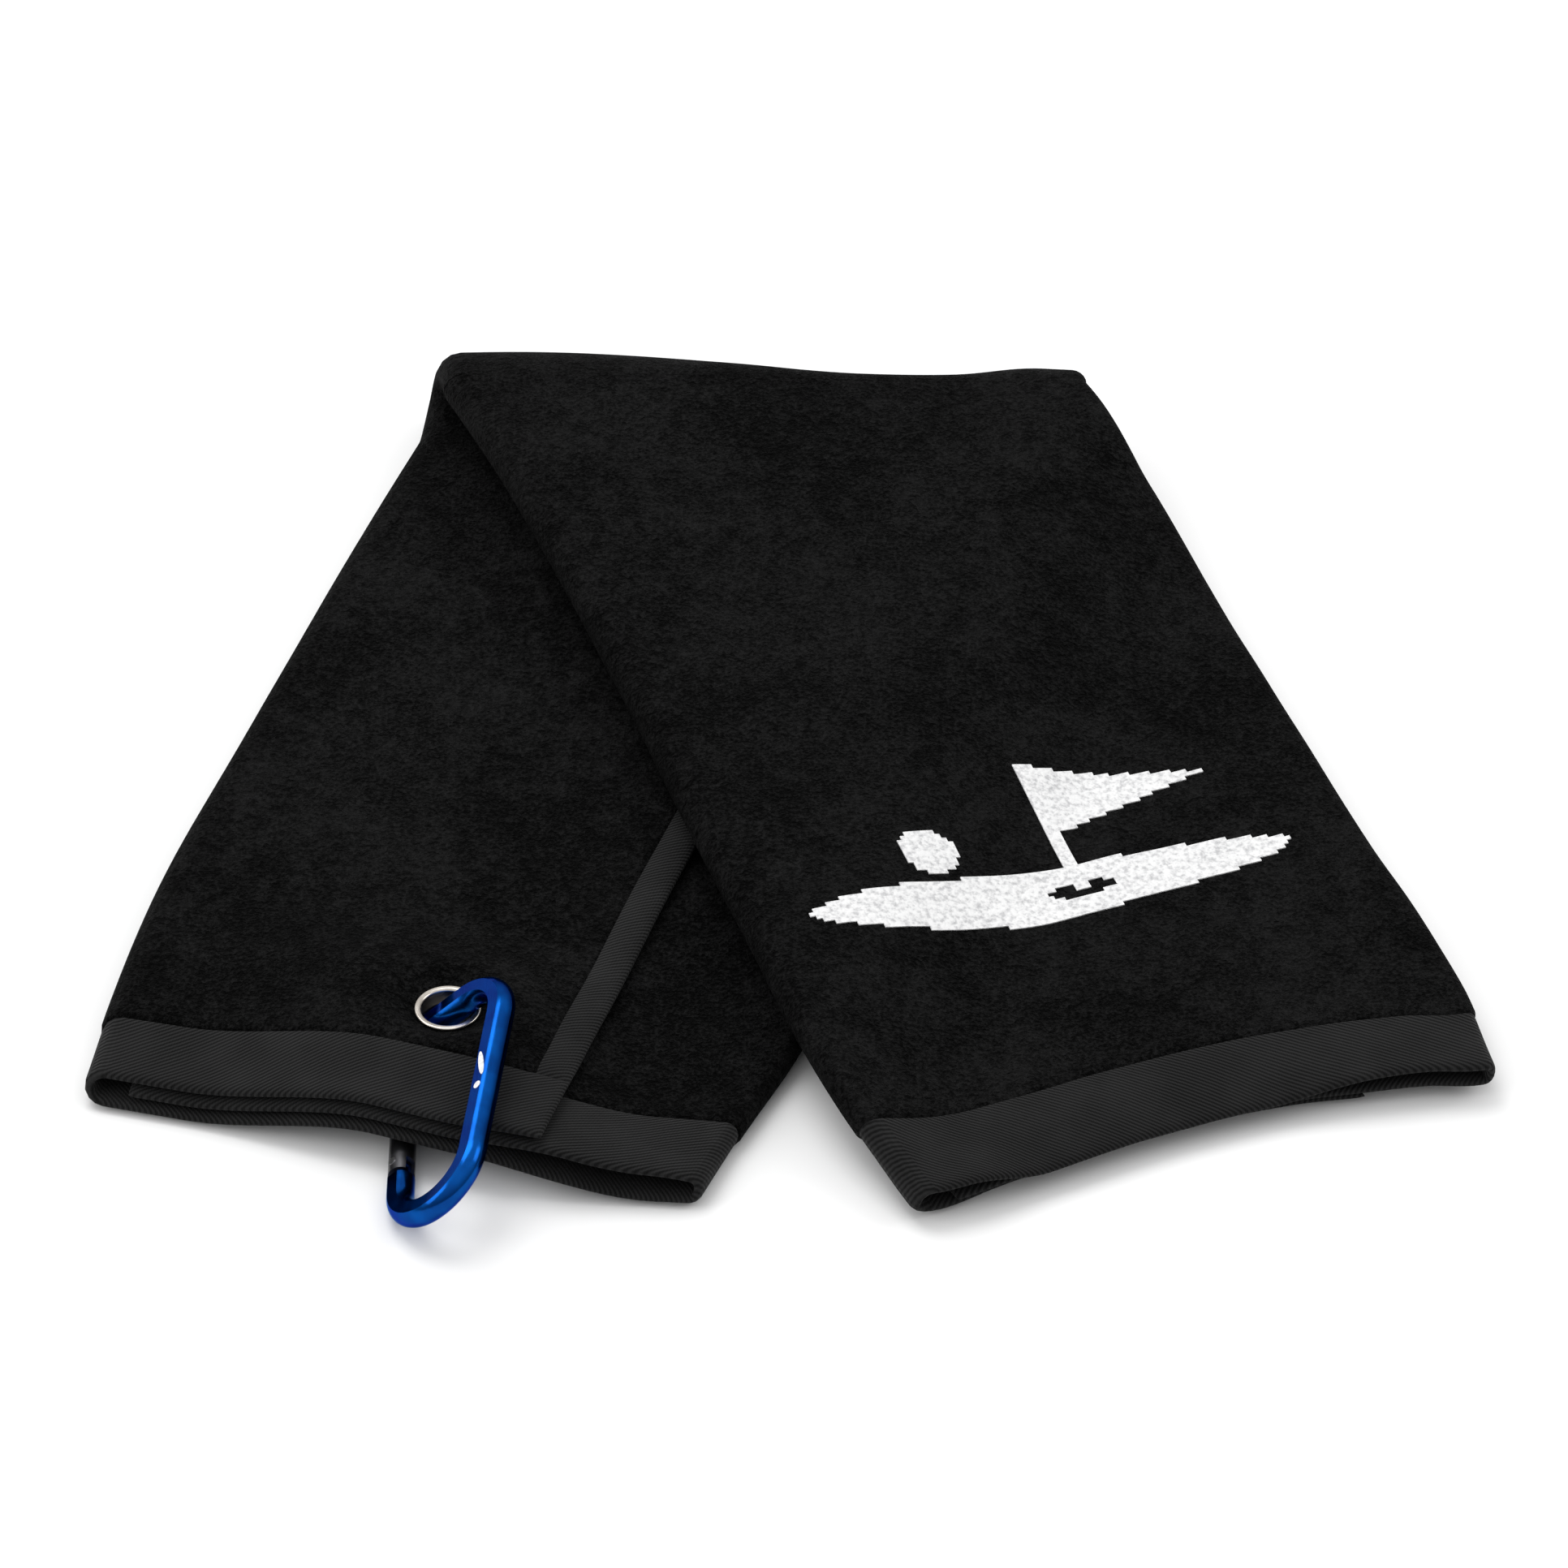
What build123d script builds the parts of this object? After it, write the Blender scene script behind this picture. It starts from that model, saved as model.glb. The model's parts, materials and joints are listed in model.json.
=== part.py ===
from build123d import *

import os
from collections import namedtuple
from math import asin, cos, degrees, pi, radians, sin

# A golf towel: a velour sheet folded in three lengthwise and once across the middle, laid down
# with its two halves fanned out, and a carabiner through the eyelet of the lower half.
# Millimetres. X runs along the cross fold, -Y points from the fold to the hems, +Z is up.
# The model is laid out from the far edge of the cross fold and moved to its origin at the end.

# ---- the sheet ----
rear_width = 156.0           # middle panel: folded width of the lower half, which lies loose
front_narrowing = 6.0        # the upper half is folded this much narrower
outer_flap = 114.0           # width of the flap that shows on the lower half
inner_flap_short = 20.0      # the flap below it stops this far short of the middle panel's edge
pile_thickness = 3.5         # velour, both faces
layer_gap = 0.5              # air between two layers
hem_thickness = 2.4          # flat woven hem, thinner than the pile
end_hem = 22.0               # hem across each end
side_hem = 9.0               # hem along each free side
rear_run = 285.0             # lower half, from the cross fold to its end
front_run = 293.0            # upper half, from the cross fold to its end

# ---- how it lies ----
rear_angle = 16.5            # lower half, turned from -Y towards -X
front_angle = 20.8           # upper half, turned from -Y towards +X
half_gap = 6.5               # air between the halves next to the cross fold
hump_start = 205.0           # the lower half rises here, along its run
hump_length = 35.0
slope_start = 2.0            # the upper half comes down here, past the side of the lower half
slope_length = 50.0
hinge_clearance = 0.3        # between the cross fold and the half that opens
floor_clearance = 0.3        # under the carabiner
hump_clearance = 0.3         # over the carabiner's gate
spine_clearance = 0.05       # under the carabiner's spine

# ---- eyelet ----
eyelet_from_end = 42.0       # eyelet's centre to the end of the lower half
eyelet_from_flap = 40.0      # eyelet's centre to the outer flap's free edge
eyelet_flange = 16.0
eyelet_wall = 0.6
eyelet_height = 4.6
eyelet_roll = 0.8            # radius of the rolled rims
flange_thickness = 0.9
curl_thickness = 0.45
washer_thickness = 0.6
eyelet_play = 0.05
rod_fit = 0.135              # the eyelet's rim to the carabiner's rod
pinch_radius = 16.0          # the three layers are pressed together inside this
dimple_radius = 12.8         # mouth of the hollow that the pinch leaves

# ---- carabiner ----
clip_length = 66.0           # basket to bend, between centre lines
clip_wide_end = 34.2         # gate to spine at the basket
clip_narrow_end = 22.2       # gate to spine at the bend
rod_diameter = 6.6
rod_flattening = 0.8         # taken off the rod's thickness by flattening both faces
bend_radius = 11.9
shoulder_radius = 12.0
nose_radius = 6.0
nose_end = 8.3               # nose's end, from the basket's centre line
shoulder = 48.4              # body's end at the gate's hinge, from the basket's centre line

# ---- gate ----
gate_diameter = 6.4
gate_bore = 4.4
gate_tip_gap = 0.5
gate_hinge_gap = 1.2
gate_bore_depth = 31.0
hinge_setback = 3.0          # hinge pin, from the gate's end
hinge_pin_diameter = 2.0
hinge_pin_play = 0.05
pin_proud = 0.15
tongue_thickness = 2.4
tongue_width = 3.6
slot_play = 0.2
tab_thickness = 2.2
tab_width = 3.0
tab_reach = 3.6
latch_pin_diameter = 1.5
latch_pin_length = 5.0
latch_pin_setback = 1.7      # latch pin, from the nose's end
latch_play = 0.25
plunger_diameter = 3.8
plunger_length = 4.0
spring_wire = 0.5
spring_turns = 9
spring_diameter = 3.4
spring_seat_gap = 0.1

# ---- woven motif ----
motif_proud = 0.25
green_centre = (0.0, 201.0)  # across and along the upper half
green_size = (124.0, 17.0)
pole_offset = 8.0            # flagpole, from the green's middle
pole_size = (4.6, 44.0)
flag_size = (45.0, 24.0)
ball_diameter = 14.0
ball_offset = (-26.0, 17.0)  # from the green's middle

# ---- worked out ----
front_width = rear_width - front_narrowing
inner_flap = rear_width - inner_flap_short
sheet_width = outer_flap + rear_width + inner_flap
layer_pitch = pile_thickness + layer_gap
stack = 2 * layer_pitch + pile_thickness
upper_foot = stack + half_gap
total_height = upper_foot + stack
fold_radius = total_height / 2
fold_width = (rear_width / cos(radians(rear_angle)) + front_width / cos(radians(front_angle))) / 2
rod_radius = rod_diameter / 2
flat_half = (rod_diameter - rod_flattening) / 2
gate_half = max(rod_diameter, gate_diameter) / 2
gate_height = floor_clearance + gate_half
hump = gate_height + gate_half + hump_clearance
eyelet_middle = hump + stack / 2

# the loop leans up from the floor until its spine clears the lower half's end
spine_rise = hump + stack + spine_clearance + rod_radius - gate_height
clip_taper = (clip_wide_end - clip_narrow_end) / clip_length
tilt = asin(spine_rise / (clip_wide_end - clip_taper * eyelet_from_end))
gate_drop = (eyelet_middle - gate_height) / sin(tilt)

# the eyelet is just wide enough for the leaning rod to pass its rolled rims
rim_height = eyelet_height / 2 - eyelet_roll
rim_radius = (flat_half + rod_fit + eyelet_roll + rim_height * cos(tilt)) / sin(tilt)
barrel_inside = rim_radius - eyelet_roll
reach = 2 * (rear_run + front_run)


def leg_plane(angle):
    """Plan of one half: x across it, -y along it, origin on the cross fold's middle."""
    turn = radians(angle)
    return Plane(
        origin=(0, -fold_radius, 0),
        x_dir=(cos(turn), -sin(turn), 0),
        z_dir=(0, 0, 1),
    )


# A drape is how one half lies: its plan, and a side view in which its underside goes from one
# height to another. The upper half's side view looks along the edge of the lower half.
Drape = namedtuple("Drape", "plan side ramp_start ramp_length foot_before foot_after")

rear_plan = leg_plane(rear_angle)
front_plan = leg_plane(-front_angle)
rear_along = -rear_plan.y_dir
rear = Drape(
    plan=rear_plan,
    side=Plane(origin=rear_plan.origin, x_dir=rear_along, z_dir=-rear_plan.x_dir),
    ramp_start=hump_start,
    ramp_length=hump_length,
    foot_before=0.0,
    foot_after=hump,
)
front = Drape(
    plan=front_plan,
    side=Plane(origin=rear_plan.origin, x_dir=rear_plan.x_dir, z_dir=rear_along),
    ramp_start=rear_width / 2 + slope_start,
    ramp_length=slope_length,
    foot_before=upper_foot,
    foot_after=0.0,
)


def draped(drape, left, right, near, far, base, thickness):
    """A band of cloth between two lines along a half and two across it, lying as the half lies."""
    start = drape.ramp_start
    end = start + drape.ramp_length
    middle = (start + end) / 2
    low = drape.foot_before + base
    high = drape.foot_after + base
    low_top = low + thickness
    high_top = high + thickness
    with BuildPart() as band:
        with BuildSketch(drape.side):
            with BuildLine():
                Line((-reach, low), (start, low))
                Bezier((start, low), (middle, low), (middle, high), (end, high))
                Line((end, high), (reach, high))
                Line((reach, high), (reach, high_top))
                Line((reach, high_top), (end, high_top))
                Bezier((end, high_top), (middle, high_top), (middle, low_top), (start, low_top))
                Line((start, low_top), (-reach, low_top))
                Line((-reach, low_top), (-reach, low))
            make_face()
        extrude(amount=reach, both=True)
        with BuildSketch(drape.plan):
            with Locations(((left + right) / 2, -(near + far) / 2)):
                Rectangle(right - left, far - near)
        extrude(amount=2 * total_height, both=True, mode=Mode.INTERSECT)
    return band.part


def panels(drape, width, order, near, far, thickness, hem):
    """The three layers of a half and the folds that join them, as a list of bands.

    order gives the heights, in layers, of the middle panel, the inner flap and the outer flap.
    hem is how much each flap's free edge leaves for its side hem.
    """
    side = width / 2
    inner_edge = side - (sheet_width - width - outer_flap)
    outer_edge = outer_flap - side
    middle, inner, outer = (step * layer_pitch for step in order)
    outer_fold = abs(middle - outer) + thickness
    inner_fold = abs(middle - inner) + thickness
    return [
        draped(drape, -side, side, near, far, middle, thickness),
        draped(drape, inner_edge + hem, side, near, far, inner, thickness),
        draped(drape, -side, outer_edge - hem, near, far, outer, thickness),
        draped(drape, -side, thickness - side, near, far, min(middle, outer), outer_fold),
        draped(drape, side - thickness, side, near, far, min(middle, inner), inner_fold),
    ]


def side_hems(drape, width, order, near, far):
    """The flat hem along each flap's free edge: the outer flap's and the inner flap's."""
    side = width / 2
    inner_edge = side - (sheet_width - width - outer_flap)
    outer_edge = outer_flap - side
    inner, outer = (step * layer_pitch for step in order[1:])
    return (
        draped(drape, outer_edge - side_hem, outer_edge, near, far, outer, hem_thickness),
        draped(drape, inner_edge, inner_edge + side_hem, near, far, inner, hem_thickness),
    )


rear_order = (0, 1, 2)
front_order = (2, 1, 0)
overrun = -rear_width / 2
rear_seam = rear_run - end_hem
front_seam = front_run - end_hem

# the halves start at these upright planes, which face the cross fold
rear_cut = Plane.XZ.offset(fold_radius)
front_cut = Plane.XZ.offset(fold_radius + hinge_clearance)

eyelet_across = outer_flap - rear_width / 2 - eyelet_from_flap
eyelet_spot = rear_plan.from_local_coords((eyelet_across, eyelet_from_end - rear_run))
eyelet_plane = Plane(origin=(eyelet_spot.X, eyelet_spot.Y, eyelet_middle))
clamp_top = eyelet_height / 2 - flange_thickness
clamp_bottom = curl_thickness + washer_thickness + eyelet_play - eyelet_height / 2
flange_radius = eyelet_flange / 2
barrel_outside = barrel_inside + eyelet_wall

# ---- the lower half ----
with BuildPart() as cloth_rear_half:
    for band in panels(rear, rear_width, rear_order, overrun, rear_seam, pile_thickness, side_hem):
        add(band)
    split(bisect_by=rear_cut, keep=Keep.TOP)
    # the eyelet presses the layers together, and leaves a hollow above and below
    with Locations(eyelet_plane):
        Cylinder(pinch_radius, stack)
    with BuildSketch(eyelet_plane.offset(stack / 2)):
        Circle(dimple_radius)
    with BuildSketch(eyelet_plane.offset(clamp_top)):
        Circle(flange_radius + layer_gap)
    loft(mode=Mode.SUBTRACT)
    with BuildSketch(eyelet_plane.offset(-stack / 2)):
        Circle(dimple_radius)
    with BuildSketch(eyelet_plane.offset(clamp_bottom)):
        Circle(flange_radius + layer_gap)
    loft(mode=Mode.SUBTRACT)
    with Locations(eyelet_plane):
        Cylinder(barrel_outside + eyelet_play, stack, mode=Mode.SUBTRACT)
cloth_rear_half.part.label = "cloth_rear_half"

with BuildPart() as end_hem_rear:
    for band in panels(rear, rear_width, rear_order, rear_seam, rear_run, hem_thickness, 0):
        add(band)
end_hem_rear.part.label = "end_hem_rear"

outer_strip, inner_strip = side_hems(rear, rear_width, rear_order, overrun, rear_seam)
with BuildPart() as side_hem_outer_rear:
    add(outer_strip)
    split(bisect_by=rear_cut, keep=Keep.TOP)
side_hem_outer_rear.part.label = "side_hem_outer_rear"

with BuildPart() as side_hem_inner_rear:
    add(inner_strip)
    split(bisect_by=rear_cut, keep=Keep.TOP)
side_hem_inner_rear.part.label = "side_hem_inner_rear"

# ---- the upper half ----
with BuildPart() as cloth_front_half:
    for band in panels(front, front_width, front_order, overrun, front_seam, pile_thickness, side_hem):
        add(band)
    split(bisect_by=front_cut, keep=Keep.TOP)
cloth_front_half.part.label = "cloth_front_half"

with BuildPart() as end_hem_front:
    for band in panels(front, front_width, front_order, front_seam, front_run, hem_thickness, 0):
        add(band)
end_hem_front.part.label = "end_hem_front"

outer_strip, inner_strip = side_hems(front, front_width, front_order, overrun, front_seam)
with BuildPart() as side_hem_outer_front:
    add(outer_strip)
    split(bisect_by=front_cut, keep=Keep.TOP)
side_hem_outer_front.part.label = "side_hem_outer_front"

with BuildPart() as side_hem_inner_front:
    add(inner_strip)
    split(bisect_by=front_cut, keep=Keep.TOP)
side_hem_inner_front.part.label = "side_hem_inner_front"


# ---- the cross fold ----
def bent(left, right, inside, thickness):
    """Half a tube of cloth round the cross fold, between two places along it."""
    with BuildPart() as bend:
        with BuildSketch(Plane.YZ.offset(left)):
            with Locations((-fold_radius, fold_radius)):
                Circle(inside + thickness)
                Circle(inside, mode=Mode.SUBTRACT)
                with Locations((-reach / 2, 0)):
                    Rectangle(reach, reach, mode=Mode.SUBTRACT)
        extrude(amount=right - left)
    return bend.part


fold_side = fold_width / 2
mean_lean = cos(radians((rear_angle + front_angle) / 2))
fold_outer_edge = outer_flap / mean_lean - fold_side
fold_inner_edge = fold_side - (sheet_width - (rear_width + front_width) / 2 - outer_flap) / mean_lean
middle_inside = fold_radius - pile_thickness
inner_inside = middle_inside - layer_pitch
outer_inside = inner_inside - layer_pitch

with BuildPart() as cloth_top_fold:
    add(bent(-fold_side, fold_side, middle_inside, pile_thickness))
    add(bent(fold_inner_edge + side_hem, fold_side, inner_inside, pile_thickness))
    add(bent(-fold_side, fold_outer_edge - side_hem, outer_inside, pile_thickness))
    add(bent(-fold_side, pile_thickness - fold_side, outer_inside, stack))
    add(bent(fold_side - pile_thickness, fold_side, inner_inside, layer_pitch + pile_thickness))
cloth_top_fold.part.label = "cloth_top_fold"

hem_inset = (pile_thickness - hem_thickness) / 2
with BuildPart() as side_hem_outer_fold:
    add(bent(fold_outer_edge - side_hem, fold_outer_edge, outer_inside + hem_inset, hem_thickness))
side_hem_outer_fold.part.label = "side_hem_outer_fold"

with BuildPart() as side_hem_inner_fold:
    add(bent(fold_inner_edge, fold_inner_edge + side_hem, inner_inside + hem_inset, hem_thickness))
side_hem_inner_fold.part.label = "side_hem_inner_fold"

# ---- the woven motif: a green with a flag and a ball ----
with BuildPart() as woven_motif:
    motif_base = 2 * layer_pitch + pile_thickness
    add(draped(front, -front_width / 2, front_width / 2, 0, front_run, motif_base, motif_proud))
    with BuildSketch(front_plan):
        with Locations((green_centre[0], -green_centre[1])):
            Ellipse(green_size[0] / 2, green_size[1] / 2)
            with Locations((pole_offset, 0)):
                Rectangle(*pole_size, align=(Align.CENTER, Align.MIN))
            with Locations((pole_offset, pole_size[1])):
                Polygon((0, 0), (flag_size[0], -flag_size[1] / 2), (0, -flag_size[1]), align=None)
            with Locations(ball_offset):
                Circle(ball_diameter / 2)
    extrude(amount=2 * total_height, mode=Mode.INTERSECT)
woven_motif.part.label = "woven_motif"

# ---- eyelet: a flanged barrel above, and a washer that its lower rim is curled over ----
eyelet_section = Plane(origin=eyelet_plane.origin, x_dir=(1, 0, 0), z_dir=(0, -1, 0))
eyelet_axis = Axis(eyelet_plane.origin, (0, 0, 1))
with BuildPart() as eyelet:
    with BuildSketch(eyelet_section):
        with BuildLine():
            half = eyelet_height / 2
            curl_edge = barrel_outside + eyelet_roll
            edge_round = flange_thickness / 2
            Line((barrel_inside, -rim_height), (barrel_inside, rim_height))
            RadiusArc((barrel_inside, rim_height), (rim_radius, half), eyelet_roll)
            Line((rim_radius, half), (flange_radius - edge_round, half))
            RadiusArc(
                (flange_radius - edge_round, half),
                (flange_radius - edge_round, half - flange_thickness),
                edge_round,
            )
            Line((flange_radius - edge_round, clamp_top), (barrel_outside, clamp_top))
            Line((barrel_outside, clamp_top), (barrel_outside, curl_thickness - half))
            Line((barrel_outside, curl_thickness - half), (curl_edge, curl_thickness - half))
            Line((curl_edge, curl_thickness - half), (curl_edge, -half))
            Line((curl_edge, -half), (rim_radius, -half))
            RadiusArc((rim_radius, -half), (barrel_inside, -rim_height), eyelet_roll)
        make_face()
    revolve(axis=eyelet_axis)
eyelet.part.label = "eyelet"

with BuildPart() as eyelet_washer:
    with BuildSketch(eyelet_plane.offset(clamp_bottom - washer_thickness)):
        Circle(flange_radius)
        Circle(barrel_outside + eyelet_play, mode=Mode.SUBTRACT)
    extrude(amount=washer_thickness)
eyelet_washer.part.label = "eyelet_washer"

# ---- carabiner: a bent rod, flattened on both faces; x runs from the basket to the bend ----
clip_plane = Plane(
    origin=eyelet_plane.origin,
    x_dir=(0, -1, 0),
    z_dir=(-sin(tilt), 0, cos(tilt)),
)
gate_line = -gate_drop
gate_end = shoulder - gate_hinge_gap
gate_tip = nose_end + gate_tip_gap
gate_radius = gate_diameter / 2
hinge_at = gate_end - hinge_setback
latch_at = nose_end - latch_pin_setback
slot_half = tongue_thickness / 2 + slot_play


def across_gate(distance):
    """The plane across the gate's line at a distance from the basket, facing the bend."""
    return Plane(
        origin=clip_plane.from_local_coords((distance, gate_line)),
        x_dir=clip_plane.y_dir,
        z_dir=clip_plane.x_dir,
    )


with BuildPart() as carabiner_body:
    with BuildLine(clip_plane) as rod_line:
        FilletPolyline(
            (shoulder, gate_line),
            (clip_length, gate_line),
            (clip_length, gate_line + clip_narrow_end),
            (0, gate_line + clip_wide_end),
            (0, gate_line),
            (nose_end, gate_line),
            radius=[bend_radius, bend_radius, shoulder_radius, nose_radius],
        )
    with BuildSketch(across_gate(shoulder)):
        Circle(rod_radius)
    sweep(path=rod_line.line)
    with BuildSketch(clip_plane):
        Rectangle(4 * clip_length, 4 * clip_length)
    extrude(amount=flat_half, both=True, mode=Mode.INTERSECT)
    # the tongue that the gate turns on
    with BuildSketch(clip_plane):
        with Locations(((hinge_at + shoulder + rod_radius) / 2, gate_line)):
            Rectangle(shoulder + rod_radius - hinge_at, tongue_width)
        with Locations((hinge_at, gate_line)):
            Circle(tongue_width / 2)
    extrude(amount=tongue_thickness / 2, both=True)
    with BuildSketch(clip_plane):
        with Locations((hinge_at, gate_line)):
            Circle(hinge_pin_diameter / 2 + hinge_pin_play)
    extrude(amount=rod_radius, both=True, mode=Mode.SUBTRACT)
    # the nose's slot takes the gate's tab, and its hooked seat takes the latch pin
    slot_end = gate_tip - tab_reach - gate_tip_gap
    slot_floor = gate_line - tab_width / 2 - latch_play
    with BuildSketch(clip_plane):
        with Locations((slot_end, slot_floor)):
            Rectangle(2 * tab_reach, 2 * rod_radius, align=(Align.MIN, Align.MIN))
    extrude(amount=tab_thickness / 2 + slot_play, both=True, mode=Mode.SUBTRACT)
    seat = latch_pin_diameter + 2 * latch_play
    with BuildSketch(clip_plane):
        with Locations((latch_at, gate_line)):
            Rectangle(seat, 2 * rod_radius, align=(Align.CENTER, Align.MIN))
            Circle(seat / 2)
    extrude(amount=rod_radius, both=True, mode=Mode.SUBTRACT)
carabiner_body.part.label = "carabiner_body"

# ---- gate: a tube on the tongue's pin, with a spring and plunger inside ----
with BuildPart() as gate:
    with BuildSketch(across_gate(gate_tip)):
        Circle(gate_radius)
    extrude(amount=gate_end - gate_tip)
    with BuildSketch(across_gate(gate_end - gate_bore_depth)):
        Circle(gate_bore / 2)
    extrude(amount=gate_bore_depth, mode=Mode.SUBTRACT)
    # open side, which lets the tongue through as the gate swings in
    with BuildSketch(clip_plane):
        with Locations((hinge_at - hinge_pin_diameter / 2, gate_line)):
            Rectangle(2 * hinge_setback, gate_diameter, align=(Align.MIN, Align.MIN))
    extrude(amount=slot_half, both=True, mode=Mode.SUBTRACT)
    with BuildSketch(clip_plane):
        with Locations((gate_tip + tab_thickness, gate_line)):
            Rectangle(tab_reach + tab_thickness, tab_width, align=(Align.MAX, Align.CENTER))
    extrude(amount=tab_thickness / 2, both=True)
    with BuildSketch(clip_plane):
        with Locations((latch_at, gate_line)):
            Circle(latch_pin_diameter / 2)
        with Locations((hinge_at, gate_line)):
            Circle(hinge_pin_diameter / 2)
    extrude(amount=gate_diameter, both=True, mode=Mode.SUBTRACT)
gate.part.label = "gate"

with BuildPart() as gate_hinge_pin:
    with BuildSketch(clip_plane):
        with Locations((hinge_at, gate_line)):
            Circle(hinge_pin_diameter / 2)
    extrude(amount=gate_radius + pin_proud, both=True)
gate_hinge_pin.part.label = "gate_hinge_pin"

with BuildPart() as gate_latch_pin:
    with BuildSketch(clip_plane):
        with Locations((latch_at, gate_line)):
            Circle(latch_pin_diameter / 2)
    extrude(amount=latch_pin_length / 2, both=True)
gate_latch_pin.part.label = "gate_latch_pin"

plunger_face = hinge_at - tongue_width / 2 - spring_seat_gap
plunger_back = plunger_face - plunger_length
with BuildPart() as spring_plunger:
    with BuildSketch(across_gate(plunger_back)):
        Circle(plunger_diameter / 2)
    extrude(amount=plunger_length)
    with BuildSketch(across_gate(plunger_back)):
        Circle(spring_diameter / 2 - 2 * spring_wire)
    extrude(amount=-plunger_length)
    chamfer(spring_plunger.part.edges().filter_by(GeomType.CIRCLE), spring_wire / 2)
spring_plunger.part.label = "spring_plunger"

spring_foot = gate_end - gate_bore_depth + spring_seat_gap + spring_wire / 2
spring_length = plunger_back - spring_seat_gap - spring_wire / 2 - spring_foot
coil_radius = (spring_diameter - spring_wire) / 2
with BuildPart() as gate_spring:
    with BuildLine():
        coil = Helix(
            pitch=spring_length / spring_turns,
            height=spring_length,
            radius=coil_radius,
            center=across_gate(spring_foot).origin,
            direction=clip_plane.x_dir,
        )
    with BuildSketch(Plane(origin=coil @ 0, z_dir=coil % 0)):
        Circle(spring_wire / 2)
    sweep(path=coil, is_frenet=True)
gate_spring.part.label = "gate_spring"

# ---- origin: under the middle of the whole towel's box, on the surface it lies on ----
pieces = [
    cloth_rear_half,
    cloth_top_fold,
    cloth_front_half,
    end_hem_rear,
    end_hem_front,
    side_hem_outer_rear,
    side_hem_outer_fold,
    side_hem_outer_front,
    side_hem_inner_rear,
    side_hem_inner_fold,
    side_hem_inner_front,
    woven_motif,
    eyelet,
    eyelet_washer,
    carabiner_body,
    gate,
    gate_hinge_pin,
    gate_latch_pin,
    gate_spring,
    spring_plunger,
]
whole = Compound([piece.part for piece in pieces]).bounding_box()
origin = Vector(whole.center().X, whole.center().Y, whole.min.Z)

os.makedirs("parts", exist_ok=True)
for piece in pieces:
    piece.part.move(Location(-origin))
    export_step(piece.part, f"parts/{piece.part.label}.step")


def place(point):
    """A point of the layout in the finished frame, in metres."""
    return [round(value / 1000, 6) for value in Vector(point) - origin]


fold_arc = pi * (inner_inside + pile_thickness / 2)
print("size", [round(value, 2) for value in whole.size])
print("rest height", round(whole.min.Z, 3))
print("half_fold_open", place((0, fold_arc / 2 - fold_radius, fold_radius)))
print("carabiner_swing", place(eyelet_plane.origin))
print("gate_hinge", place(clip_plane.from_local_coords((hinge_at, gate_line))))
print("gate_hinge axis", [round(value, 6) for value in clip_plane.z_dir])
print("underside", place(rear_plan.from_local_coords((0, -rear_run / 2))))
print("tilt", round(degrees(tilt), 3), "eyelet bore", round(2 * barrel_inside, 3))
bend_centre = (clip_length - bend_radius, gate_line + bend_radius)
print("loop bend centre", place(clip_plane.from_local_coords(bend_centre)))
print("inside of the bend", round(bend_radius - rod_radius, 2))
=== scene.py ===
# %% [markdown]
# # A golf towel, laid down folded
# The towel is one sheet of black velour, folded in three lengthwise and once across its middle.
# Its two halves fan out from the cross fold, and a blue carabiner hangs in the eyelet of the
# lower half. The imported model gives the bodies, the hinge and the box, so it is loaded first.

# %% Load the frame
import json
from math import cos, pi, radians, sin

import bpy
import numpy as np
from mathutils import Matrix, Vector


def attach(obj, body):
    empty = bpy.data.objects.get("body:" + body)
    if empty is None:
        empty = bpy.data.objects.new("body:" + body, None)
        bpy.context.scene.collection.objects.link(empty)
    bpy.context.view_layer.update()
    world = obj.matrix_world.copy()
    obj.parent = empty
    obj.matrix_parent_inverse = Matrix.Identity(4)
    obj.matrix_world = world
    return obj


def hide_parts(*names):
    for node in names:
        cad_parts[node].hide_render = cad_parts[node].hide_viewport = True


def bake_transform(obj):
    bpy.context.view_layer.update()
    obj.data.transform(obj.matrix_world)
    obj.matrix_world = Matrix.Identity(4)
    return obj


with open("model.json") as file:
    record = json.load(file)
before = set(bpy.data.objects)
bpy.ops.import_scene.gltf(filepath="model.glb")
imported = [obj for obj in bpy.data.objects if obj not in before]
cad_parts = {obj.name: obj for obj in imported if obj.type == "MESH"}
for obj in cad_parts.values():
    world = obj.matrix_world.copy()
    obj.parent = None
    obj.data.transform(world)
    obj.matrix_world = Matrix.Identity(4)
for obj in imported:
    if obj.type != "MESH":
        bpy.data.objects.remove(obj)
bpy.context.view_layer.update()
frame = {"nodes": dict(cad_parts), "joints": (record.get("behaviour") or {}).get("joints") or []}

bpy.context.scene.view_settings.view_transform = "Standard"

# %% [markdown]
# ## Where things are
# A towel maker thinks in panels: the middle panel, the inner flap folded over it and the outer
# flap on top. Everything is measured from the cross fold. Its hinge is in the frame, and the line
# where the cloth starts to bend lies half a bend's length in front of that hinge.

# %% Driving sizes
mm = 0.001
sheet_width = 406 * mm
outer_flap = 114 * mm
pile = 3.4 * mm
hem_cloth = 2.3 * mm
layer_pitch = 4.0 * mm
end_hem = 22 * mm
side_hem = 9 * mm
rear_run = 285 * mm
front_run = 293 * mm
rear_turn = radians(16.5)
front_turn = radians(-20.8)

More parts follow.
